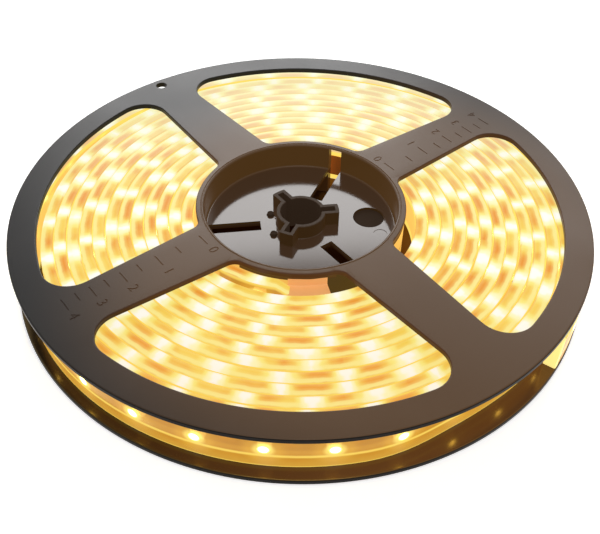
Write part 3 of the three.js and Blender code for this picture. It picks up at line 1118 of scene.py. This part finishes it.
@dataclass
class Strip:
    """The LED strip: silicone sleeve, flexible circuit, emitters, resistors and solder pads."""

    winding: Winding
    width: float = 12 * MM
    depth: float = 3.7 * MM
    front_round: float = 0.6 * MM
    back_round: float = 0.35 * MM
    recess: float = 0.45 * MM
    recess_w: float = 8.4 * MM
    ribbon_w: float = 8 * MM
    ribbon_t: float = 0.3 * MM
    pitch: float = 17 * MM
    lead: float = 13.8 * MM
    emitter: tuple[float, float, float] = (3.5 * MM, 1.9 * MM, 2.8 * MM)
    resistor: tuple[float, float, float] = (3.2 * MM, 0.6 * MM, 1.6 * MM)
    pad: tuple[float, float, float] = (2.2 * MM, 0.05 * MM, 1.6 * MM)
    group: int = 3
    steps_per_turn: int = 150

    def section(self) -> tuple[np.ndarray, np.ndarray]:
        """Works out the sleeve's section, with a shallow recess for the circuit in its back.

        Returns:
            Rows of depth and height round the section, and the StripSide of the side after each.
        """
        half, front, back = self.width / 2, self.front_round, self.back_round
        slot = self.recess_w / 2
        pieces = [
            (arc((self.depth - front, half - front), front, 90, 0, 5), StripSide.EDGE),
            (arc((self.depth - front, front - half), front, 0, -90, 5), StripSide.EDGE),
            (arc((back, back - half), back, -90, -180, 3), StripSide.EDGE),
            (np.array([[0, -slot], [self.recess, -slot], [self.recess, slot], [0, slot]]), StripSide.BACK),
            (arc((back, half - back), back, 180, 90, 3), StripSide.EDGE),
        ]
        points = np.concatenate([piece for piece, _ in pieces])
        sides = np.concatenate([np.full(len(piece), side.value) for piece, side in pieces])
        first = len(pieces[0][0])
        sides[first - 1] = StripSide.FRONT.value
        sides[first - 3:first - 1] = StripSide.FRONT.value
        sides[first:first + 2] = StripSide.FRONT.value
        sides[first + len(pieces[1][0]) + len(pieces[2][0]) - 1] = StripSide.BACK.value
        return points, sides

    def swept(self, section: np.ndarray, begin: float, end: float) -> tuple[np.ndarray, np.ndarray]:
        """Carries a section along the winding.

        Each point is the strip's back plus depth times the outward direction plus height up.

        Args:
            section: Rows of depth and height.
            begin: The first turn.
            end: The last turn.

        Returns:
            The points, station after station, and the turn of each station.
        """
        count = int((end - begin) * self.steps_per_turn) + 1
        turn = np.linspace(begin, end, count)
        base, out, _ = self.winding.frame_at(turn)
        points = (base[:, None, :] + section[None, :, :1] * out[:, None, :]
                  + section[None, :, 1:] * np.array([0.0, 0.0, 1.0]))
        return points.reshape(-1, 3), turn

    def sleeve(self, finishes: Sequence[bpy.types.Material]) -> bpy.types.Object:
        """Builds the sleeve, whose UV map holds the run in emitter pitches and the place across.

        Args:
            finishes: The materials, in the order of StripSide.

        Returns:
            The finished piece.
        """
        section, sides = self.section()
        points, turn = self.swept(section, 0.0, self.winding.turns)
        columns = len(section)
        quads = grid_quads(len(turn), columns, False, True)
        faces = [tuple(q) for q in quads.tolist()]
        last = (len(turn) - 1) * columns
        faces += [tuple(reversed(range(columns))), tuple(range(last, last + columns))]
        finish = np.concatenate([np.tile(sides, len(turn) - 1), [StripSide.EDGE.value] * 2])
        run = (self.winding.length(turn) - self.lead) / self.pitch
        piece = piece_from(Surface(points, faces, finish).outward(), "sleeve_turns", finishes)
        self.face_uv(piece, run, section)
        smooth(piece, 40.0)
        return piece

    def face_uv(self, piece: bpy.types.Object, run: np.ndarray, section: np.ndarray) -> None:
        """Maps the sleeve: the run, then height across the front and back or depth across the edges.

        Args:
            piece: The sleeve.
            run: The run of each station, in emitter pitches.
            section: Rows of depth and height round the section.
        """
        mesh = piece.data
        vertex = np.empty(len(mesh.loops), dtype=np.int32)
        mesh.loops.foreach_get("vertex_index", vertex)
        counts = np.empty(len(mesh.polygons), dtype=np.int32)
        mesh.polygons.foreach_get("loop_total", counts)
        side = np.empty(len(mesh.polygons), dtype=np.int32)
        mesh.polygons.foreach_get("material_index", side)
        on_edge = np.repeat(side, counts) == StripSide.EDGE.value
        columns = len(section)
        column, station = vertex % columns, vertex // columns
        depth = section[column, 0] / self.depth
        rise = section[column, 1] / self.width + 0.5
        uv = np.column_stack([run[station], np.where(on_edge, depth, rise)])
        mesh.uv_layers.new(name="run").data.foreach_set("uv", uv.ravel())

    def ribbon(self, finishes: Sequence[bpy.types.Material]) -> bpy.types.Object:
        """Builds the flexible circuit as a thin ribbon in the sleeve's recess.

        Args:
            finishes: The material of its front and edges, then that of its back.

        Returns:
            The finished piece.
        """
        half = self.ribbon_w / 2
        back = 0.06 * MM
        front = back + self.ribbon_t
        section = np.array([[front, half], [front, -half], [back, -half], [back, half]])
        points, turn = self.swept(section, 0.001, self.winding.turns - 0.001)
        faces = [tuple(q) for q in grid_quads(len(turn), 4, False, True).tolist()]
        last = (len(turn) - 1) * 4
        faces += [(3, 2, 1, 0), (last, last + 1, last + 2, last + 3)]
        finish = np.concatenate([np.tile([0, 0, 1, 0], len(turn) - 1), [0, 0]])
        return piece_from(Surface(points, faces, finish).outward(), "circuit_ribbon", finishes)

    def chips(self, name: str, size: Sequence[float], first: float, step: float, offset: float,
              finish: bpy.types.Material) -> bpy.types.Object:
        """Builds blocks that stand on the circuit at even steps along the strip.

        Args:
            name: The piece's name.
            size: Each block's length along the strip, height off it and width across it.
            first: Length of strip before the first block's middle.
            step: Length from one block to the next.
            offset: Height of the blocks' middle above the strip's middle line.
            finish: Their material.

        Returns:
            One piece that holds every block, each with a slightly smaller top.
        """
        total = float(self.winding.length(np.array(self.winding.turns)))
        turn = self.winding.turn_at(np.arange(first, total - step / 4, step))
        base, out, ahead = self.winding.frame_at(turn)
        long, high, wide = size
        foot = self.ribbon_t
        corner = np.array([[-1, -1], [1, -1], [1, 1], [-1, 1]]) / 2
        rings = [(foot, 1.0), (foot + high * 0.85, 1.0), (foot + high, 0.82)]
        points = np.concatenate([
            base[:, None, :] + ahead[:, None, :] * (corner[None, :, :1] * long * scale)
            + out[:, None, :] * depth
            + np.array([0.0, 0.0, 1.0]) * (corner[None, :, 1:] * wide * scale + offset)
            for depth, scale in rings], axis=1)
        quads = np.concatenate([grid_quads(3, 4, False, True), [[3, 2, 1, 0], [8, 9, 10, 11]]])
        every = (quads[None] + 12 * np.arange(len(turn))[:, None, None]).reshape(-1, 4)
        faces = [tuple(q) for q in every.tolist()]
        return piece_from(Surface(points.reshape(-1, 3), faces).outward(), name, [finish])

    def end_cap(self, name: str, outer: bool, finish: bpy.types.Material) -> bpy.types.Object:
        """Builds the plug at one end: the sleeve's outline drawn out, with a smaller end.

        Args:
            name: The piece's name.
            outer: Whether it closes the outer end.
            finish: Its material.

        Returns:
            The finished piece.
        """
        gap, long = 0.1 * MM, 1.6 * MM
        winding = self.winding
        turn = np.array([winding.turns if outer else 0.0])
        base, out, ahead = (row[0] for row in winding.frame_at(turn))
        direction = ahead if outer else -ahead
        half, front = self.width / 2, self.front_round
        section = np.concatenate([
            arc((self.depth - front, half - front), front, 90, 0, 5),
            arc((self.depth - front, front - half), front, 0, -90, 5),
            [[0, -half], [0, half]]])
        middle = section.mean(axis=0)
        levels = [(gap, 1.0), (gap + long * 0.7, 1.0), (gap + long, 0.86)]
        rows = [base + direction * along + (middle + (section - middle) * scale)[:, :1] * out
                + (middle + (section - middle) * scale)[:, 1:] * np.array([0.0, 0.0, 1.0])
                for along, scale in levels]
        count = len(section)
        faces = [tuple(q) for q in grid_quads(3, count, False, True).tolist()]
        faces += [tuple(reversed(range(count))), tuple(range(2 * count, 3 * count))]
        piece = piece_from(Surface(np.concatenate(rows), faces).outward(), name, [finish])
        smooth(piece, 40.0)
        return piece


@dataclass
class HoldingTape:
    """The tan tape that runs down the hub wall and out over the first turn."""

    hub_r: float = 32.6 * MM
    wall_top: float = 17.1 * MM
    strip_top: float = 14.45 * MM
    reach: float = 4.3 * MM
    thickness: float = 0.12 * MM
    bend: float = 0.5 * MM
    middle: float = -86.0
    spread: float = 20.0
    steps: int = 40

    def build(self, finish: bpy.types.Material) -> bpy.types.Object:
        """Builds the tape: its bent section is carried round the hub, with faint wrinkles.

        A point at bearing b and section point (r, z) goes to radius r plus a small sine of b
        and z, which is the wrinkle.

        Args:
            finish: The tape's material.

        Returns:
            The finished piece.
        """
        inner = self.hub_r + 0.15 * MM
        drop = self.strip_top
        line = np.concatenate([
            [[inner, self.wall_top]],
            arc((inner + self.bend, drop + self.bend), self.bend, 180, 270, 6),
            [[inner + self.reach, drop]],
        ])
        dense = np.concatenate([*(np.linspace(a, b, 5)[:-1] for a, b in zip(line[:-1], line[1:])),
                                line[-1:]])
        ahead = np.gradient(dense, axis=0)
        ahead /= np.linalg.norm(ahead, axis=1, keepdims=True)
        normal = np.column_stack([-ahead[:, 1], ahead[:, 0]])
        section = np.concatenate([dense, (dense + normal * self.thickness)[::-1]])
        bearing = np.linspace(self.middle - self.spread / 2, self.middle + self.spread / 2, self.steps + 1)
        wrinkle = 0.05 * MM * np.sin(np.radians(bearing[:, None] * 31) + section[None, :, 1] / MM * 1.3)
        flat = polar(section[None, :, 0] + wrinkle, bearing[:, None])
        height = np.broadcast_to(section[None, :, 1:], (*flat.shape[:2], 1))
        points = np.concatenate([flat, height], axis=2).reshape(-1, 3)
        count = len(section)
        faces = [tuple(q) for q in grid_quads(len(bearing), count, False, True).tolist()]
        last = self.steps * count
        half = count // 2
        first_end = [(i, i + 1, count - 2 - i, count - 1 - i) for i in range(half - 1)]
        far_end = [tuple(last + k for k in reversed(q)) for q in first_end]
        piece = piece_from(Surface(points, faces + first_end + far_end).outward(), "holding_tape", [finish])
        smooth(piece, 40.0)
        return piece


@dataclass
class RulerMarks:
    """Engraved ticks and plain numbers along two spokes, which show how much strip is left.

    The ticks stand where each further half metre of strip ends, so the square of their radius
    grows by one step from tick to tick. The numbers count whole metres.
    """

    top_z: float
    depth: float
    bearings: tuple[float, float] = (38.1, 218.1)
    first_r: float = 34.3 * MM
    step: float = 629.5 * MM ** 2
    count: int = 9
    tick_w: float = 0.36 * MM
    tick_from: float = -5.2 * MM
    tick_to: tuple[float, float] = (-0.5 * MM, -1.8 * MM)
    number_size: float = 4.4 * MM
    number_at: float = 2.6 * MM

    def radii(self) -> np.ndarray:
        """Returns the ticks' radii."""
        return np.sqrt(self.first_r ** 2 + self.step * np.arange(self.count))

    def ticks(self, bearing: float) -> Surface:
        """Makes the ticks of one spoke as thin bars across it, every second one shorter.

        Args:
            bearing: The spoke's bearing.

        Returns:
            One surface that holds every bar.
        """
        bars = []
        for k, radius in enumerate(self.radii()):
            low, high = radius - self.tick_w / 2, radius + self.tick_w / 2
            end = self.tick_to[k % 2]
            outline = np.array([[low, self.tick_from], [high, self.tick_from], [high, end], [low, end]])
            bars.append(stacked([outline, outline], [self.top_z - self.depth, self.top_z + self.depth]))
        return Surface.joined(bars).moved(Matrix.Rotation(math.radians(bearing), 4, "Z"))

    def number(self, text: str, radius: float, bearing: float) -> Surface:
        """Makes the solid of one number, read from outside the reel.

        Args:
            text: The number.
            radius: Its distance from the axis.
            bearing: The spoke's bearing.

        Returns:
            The closed solid.
        """
        curve = bpy.data.curves.new("number", "FONT")
        curve.body = text
        curve.size = self.number_size
        curve.align_x, curve.align_y = "CENTER", "CENTER"
        curve.extrude = self.depth
        curve.resolution_u = 4
        holder = bpy.data.objects.new("number_curve", curve)
        bpy.context.scene.collection.objects.link(holder)
        graph = bpy.context.evaluated_depsgraph_get()
        mesh = bpy.data.meshes.new_from_object(holder.evaluated_get(graph))
        bpy.data.objects.remove(holder)
        work = bmesh.new()
        work.from_mesh(mesh)
        bmesh.ops.remove_doubles(work, verts=work.verts, dist=0.001 * MM)
        work.to_mesh(mesh)
        work.free()
        points = np.empty((len(mesh.vertices), 3))
        mesh.vertices.foreach_get("co", points.ravel())
        place = (Matrix.Rotation(math.radians(bearing), 4, "Z")
                 @ Matrix.Translation((radius, self.number_at, self.top_z))
                 @ Matrix.Rotation(math.radians(90), 4, "Z"))
        return Surface(points, [tuple(face.vertices) for face in mesh.polygons]).moved(place)

    def solids(self) -> list[Surface]:
        """Gathers every tick and number.

        Returns:
            The closed solids that cut the marks.
        """
        numbers = [self.number(str(k), float(radius), bearing)
                   for bearing in self.bearings for k, radius in enumerate(self.radii()[::2])]
        return [self.ticks(bearing) for bearing in self.bearings] + [Surface.joined(numbers)]


@dataclass
class Studio:
    """White floor, a large softbox behind, small ones to the right and above, and the camera."""

    stand_off: float = 260.4 * MM
    elevation: float = 38.87
    tilt_down: float = 4.52
    roll: float = 0.95
    lens: float = 49.88
    reel_height: float = 19.2 * MM
    floor_size: float = 6.0
    floor_glow: float = 0.6
    soft_light: float = 0.26
    covered: tuple[float, float] = (80 * MM, 90 * MM)

    def camera(self) -> None:
        """Places the camera at the photograph's angle: it looks a little below the top face's middle."""
        lift, dip = math.radians(self.elevation), math.radians(self.elevation + self.tilt_down)
        aim = Vector((0, 0, self.reel_height))
        place = Vector((0, -math.cos(lift), math.sin(lift))) * self.stand_off + aim
        ahead = Vector((0, math.cos(dip), -math.sin(dip)))
        right = Vector((1, 0, 0))
        up = right.cross(ahead)
        swing = math.radians(self.roll)
        right, up = (right * math.cos(swing) + up * math.sin(swing),
                     up * math.cos(swing) - right * math.sin(swing))
        data = bpy.data.cameras.new("camera")
        data.lens = self.lens
        data.clip_start = 0.01
        camera = bpy.data.objects.new("camera", data)
        turn = Matrix((right, up, -ahead)).transposed()
        camera.matrix_world = Matrix.Translation(place) @ turn.to_4x4()
        bpy.context.scene.collection.objects.link(camera)
        bpy.context.scene.camera = camera

    def softbox(self, name: str, azimuth: float, elevation: float, distance: float,
                size: tuple[float, float], power: float) -> None:
        """Adds a rectangular lamp that faces the reel.

        Args:
            name: The lamp's name.
            azimuth: Its bearing from +Y towards +X, in degrees.
            elevation: Its height above the horizon, in degrees.
            distance: Its distance from the reel.
            size: Its width and height.
            power: Its power in watts.
        """
        data = bpy.data.lights.new(name, "AREA")
        data.shape = "RECTANGLE"
        data.size, data.size_y = size
        data.energy = power
        lamp = bpy.data.objects.new(name, data)
        a, e = math.radians(azimuth), math.radians(elevation)
        towards = Vector((math.sin(a) * math.cos(e), math.cos(a) * math.cos(e), math.sin(e)))
        lamp.location = towards * distance
        lamp.rotation_euler = (-lamp.location).to_track_quat("-Z", "Y").to_euler()
        bpy.context.scene.collection.objects.link(lamp)

    def world(self) -> None:
        """Sets a white surround for the camera, gloss and clear silicone, and a dim one for soft light."""
        world = bpy.data.worlds.new("surround")
        world.use_nodes = True
        bpy.context.scene.world = world
        tree = world.node_tree
        background = tree.nodes["Background"]
        background.inputs["Color"].default_value = (1, 1, 1, 1)
        path = tree.nodes.new("ShaderNodeLightPath")
        level: bpy.types.NodeSocket | None = None
        for kind in ("Is Camera Ray", "Is Glossy Ray", "Is Transmission Ray"):
            brighter = tree.nodes.new("ShaderNodeMath")
            brighter.operation = "MAXIMUM"
            brighter.inputs[1].default_value = self.soft_light
            tree.links.new(path.outputs[kind], brighter.inputs[0])
            if level is not None:
                tree.links.new(level, brighter.inputs[1])
            level = brighter.outputs[0]
        tree.links.new(level, background.inputs["Strength"])

    def floor(self) -> None:
        """Lays the floor: it keeps a soft shadow, and shows white except under the reel itself, where a dark
        gold is painted on for the shade there and the strip's light.
        """
        half = self.floor_size / 2
        corners = np.array([[-half, -half, 0], [half, -half, 0], [half, half, 0], [-half, half, 0]])
        corners[:, 2] = -0.2 * MM
        weave = Weave("floor_white")
        weave.shader.inputs["Roughness"].default_value = 0.9
        weave.shader.inputs["Specular IOR Level"].default_value = 0.0
        path = weave.node("ShaderNodeLightPath")
        weave.shader.inputs["Emission Color"].default_value = (1, 1, 1, 1)
        seen = weave.math("MAXIMUM", path.outputs["Is Camera Ray"], path.outputs["Is Glossy Ray"])
        seen = weave.math("MAXIMUM", seen, path.outputs["Is Transmission Ray"])
        coordinates = weave.node("ShaderNodeTexCoord")
        span = weave.node("ShaderNodeVectorMath", operation="LENGTH")
        weave.link(coordinates.outputs["Object"], span.inputs[0])
        bare = weave.map_range(span.outputs["Value"], *self.covered, 0.0, 1.0)
        # Painted shade and light: under the reel the floor's colour is a dark gold standing for the shade
        # lit by the strip.
        weave.link(weave.mix(bare, linear(110, 74, 30), GREY[9]), weave.shader.inputs["Base Color"])
        shade = weave.math("MULTIPLY", bare, self.floor_glow)
        weave.link(weave.math("MULTIPLY", seen, shade), weave.shader.inputs["Emission Strength"])
        floor = piece_from(Surface(corners, [(0, 1, 2, 3)]), "floor", [weave.material])

    def build(self) -> None:
        """Builds the camera, the lamps, the surround and the floor."""
        self.camera()
        self.world()
        self.softbox("softbox_back", -6, 31, 1.2, (0.62, 0.54), 7.0)
        self.softbox("softbox_right", 27, 38, 1.2, (0.3, 0.3), 1.8)
        self.softbox("softbox_top", 180, 74, 1.2, (0.5, 0.24), 3.4)
        self.floor()
        bpy.context.scene.view_settings.view_transform = "Standard"


@dataclass
class LightReel:
    """The whole reel: builds each sub-assembly and hides the imported nodes it replaces."""

    winding: Winding = field(default_factory=Winding)

    def place(self, piece: bpy.types.Object, slot: Slot, *nodes: Node) -> None:
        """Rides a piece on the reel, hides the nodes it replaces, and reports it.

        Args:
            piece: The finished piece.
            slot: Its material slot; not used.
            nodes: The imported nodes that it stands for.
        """
        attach(piece, BODY)
        if nodes:
            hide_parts(*(node.value for node in nodes))
        LOG.info("%s: %d faces", piece.name, len(piece.data.polygons))

    def halves(self) -> None:
        """Builds the upper moulding and the same moulding turned over about its datum spoke."""
        low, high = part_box(Node.UPPER_HALF.value)
        base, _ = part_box(Node.LOWER_HALF.value)
        half = ReelHalf(reel_r=(high[0] - low[0]) / 2, half_height=(high[2] - base[2]) / 2)
        lift = Matrix.Translation((0, 0, half.half_height))
        turn = math.radians(half.datum)
        over = Matrix.Rotation(math.pi, 4, Vector((math.cos(turn), math.sin(turn), 0)))
        # Painted light: every plastic finish below carries the strip's light painted on as a warm glow.
        upper = StripLitFinish("reel_plastic_upper")
        lower = replace(upper, name="reel_plastic_lower", roughness=0.17, grain=0.01, specular=0.6,
                        tint=(1.0, 0.62, 0.12, 1.0), glow=linear(74, 45, 20),
                        glow_centre=(70 * MM, -50 * MM), glow_levels=(0.3, 1.0, 1.0, 0.02),
                        glow_radii=(29 * MM, 30 * MM, 60 * MM, 130 * MM))
        shared = [
            replace(upper, name="reel_plastic_web", roughness=0.11, roughness_spread=0.02, grain=0.0,
                    specular=0.45, glow=linear(96, 66, 40)).material(),
            # Painted light: the hidden faces get a faint brown glow painted on.
            PlainFinish("reel_plastic_hidden", linear(24, 18, 14), linear(34, 25, 18), 0.9,
                        specular=0.1, glow=linear(40, 29, 20), strength=1.0).material(),
            replace(upper, name="reel_plastic_boss", roughness=0.6, specular=0.14).material(),
            replace(upper, name="reel_plastic_window", glow=linear(78, 42, 12)).material(),
            replace(upper, name="reel_plastic_mark", roughness=0.5, specular=0.1).material(),
            replace(upper, name="reel_plastic_rim", roughness=0.3, specular=0.06,
                    glow=linear(14, 10, 7)).material(),
            # Painted light: the hub wall glows bright yellow with painted strip light, dimmed near one spot
            # at the front right.
            replace(upper, name="reel_plastic_hub", glow=linear(240, 182, 84),
                    glow_centre=(13.5 * MM, -30 * MM), glow_levels=(0.0, 0.06, 0.06, 1.0),
                    glow_radii=(29 * MM, 30 * MM, 7 * MM, 16 * MM)).material(),
        ]
        marks = RulerMarks(top_z=half.half_height, depth=half.mark_depth).solids()
        for name, node, finish, place in (("reel_upper", Node.UPPER_HALF, upper, lift),
                                          ("reel_lower", Node.LOWER_HALF, lower, lift @ over)):
            piece = half.build(name, [finish.material(), *shared], marks, place)
            self.place(piece, Slot.PLASTIC, node)

    def strip(self) -> None:
        """Builds the lit strip with everything inside it."""
        strip = Strip(self.winding)
        back = LitFace(
            name="lit_silicone_back", flare=1.0, clear=0.05, spot_at=(0.6, 0.5),
            spot_radii=(0.5, 1.2, 2.4, 4.0),
            core=linear(244, 140, 50), halo=linear(222, 110, 34), gold=linear(140, 66, 18),
            deep=linear(112, 50, 14), line=linear(255, 222, 104),
            lines=((0.0, 10), (0.2, 10), (0.24, 1), (0.27, 0), (0.72, 0), (0.75, 2), (0.78, 10), (1.0, 10)))
        faces = [LitFace().material(), LitEdge().material(), back.material()]
        self.place(strip.sleeve(faces), Slot.SILICONE, Node.SLEEVE)
        # Painted light: the circuit glows with the strip's light painted on.
        ribbon = PlainFinish("circuit_white", linear(236, 190, 96), linear(226, 172, 78), 0.45,
                             glow=linear(226, 168, 70), strength=0.6).material()
        # Painted light: the circuit's back glows with the strip's light painted on, dimmed near one spot.
        lining = StripLitFinish("circuit_back", linear(120, 60, 24), linear(170, 84, 30),
                                glow=linear(244, 196, 96), glow_centre=(12 * MM, 31 * MM),
                                glow_levels=(0.0, 0.04, 0.04, 1.0),
                                glow_radii=(29 * MM, 30 * MM, 7 * MM, 16 * MM)).material()
        self.place(strip.ribbon([ribbon, lining]), Slot.CIRCUIT, Node.CIRCUIT)
        lamp = PlainFinish("emitter_lit", linear(250, 244, 200), linear(255, 250, 220), 0.4,
                           glow=linear(255, 250, 222), strength=2.0).material()
        self.place(strip.chips("emitters", strip.emitter, strip.lead, strip.pitch, 0.0, lamp), Slot.CIRCUIT)
        chip = PlainFinish("resistor_black", linear(40, 34, 30), linear(60, 50, 40), 0.5).material()
        span, lead = strip.pitch * strip.group, strip.lead
        self.place(strip.chips("resistors", strip.resistor, lead + strip.pitch / 2, span, 0.6 * MM, chip),
                   Slot.CIRCUIT)
        pad = PlainFinish("solder_pads", linear(206, 150, 84), linear(190, 130, 70), 0.3,
                          metallic=1.0).material()
        for name, offset in (("pads_upper", 2.2 * MM), ("pads_lower", -2.2 * MM)):
            self.place(strip.chips(name, strip.pad, lead + strip.pitch * 2.5, span, offset, pad),
                       Slot.CIRCUIT)
        # Painted light: the end caps glow with the strip's light painted on.
        cap = PlainFinish("silicone_cap", linear(236, 206, 120), linear(226, 190, 100), 0.35,
                          glow=linear(250, 234, 146), strength=0.85).material()
        self.place(strip.end_cap("cap_inner", False, cap), Slot.CAP, Node.INNER_CAP)
        self.place(strip.end_cap("cap_outer", True, cap), Slot.CAP, Node.OUTER_CAP)

    def tape(self) -> None:
        """Builds the tape that holds the strip's inner end."""
        # Painted light: the tape glows with the strip's light painted on.
        finish = PlainFinish("tan_tape", linear(212, 158, 102), linear(190, 132, 74), 0.38, scale=160.0,
                             bump=0.3, glow=linear(228, 164, 102), strength=0.6)
        self.place(HoldingTape().build(finish.material()), Slot.TAPE, Node.TAPE)


def corners(box: tuple[Vector, Vector]) -> list[list[float]]:
    """Returns a box's two corners as plain lists."""
    return [list(box[0]), list(box[1])]


def main() -> None:
    """Builds the studio and the reel in order."""
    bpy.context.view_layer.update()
    Studio().build()
    reel = LightReel()
    reel.halves()
    reel.strip()
    reel.tape()


if __name__ == "__main__":
    logging.basicConfig(level=logging.INFO)
    main()
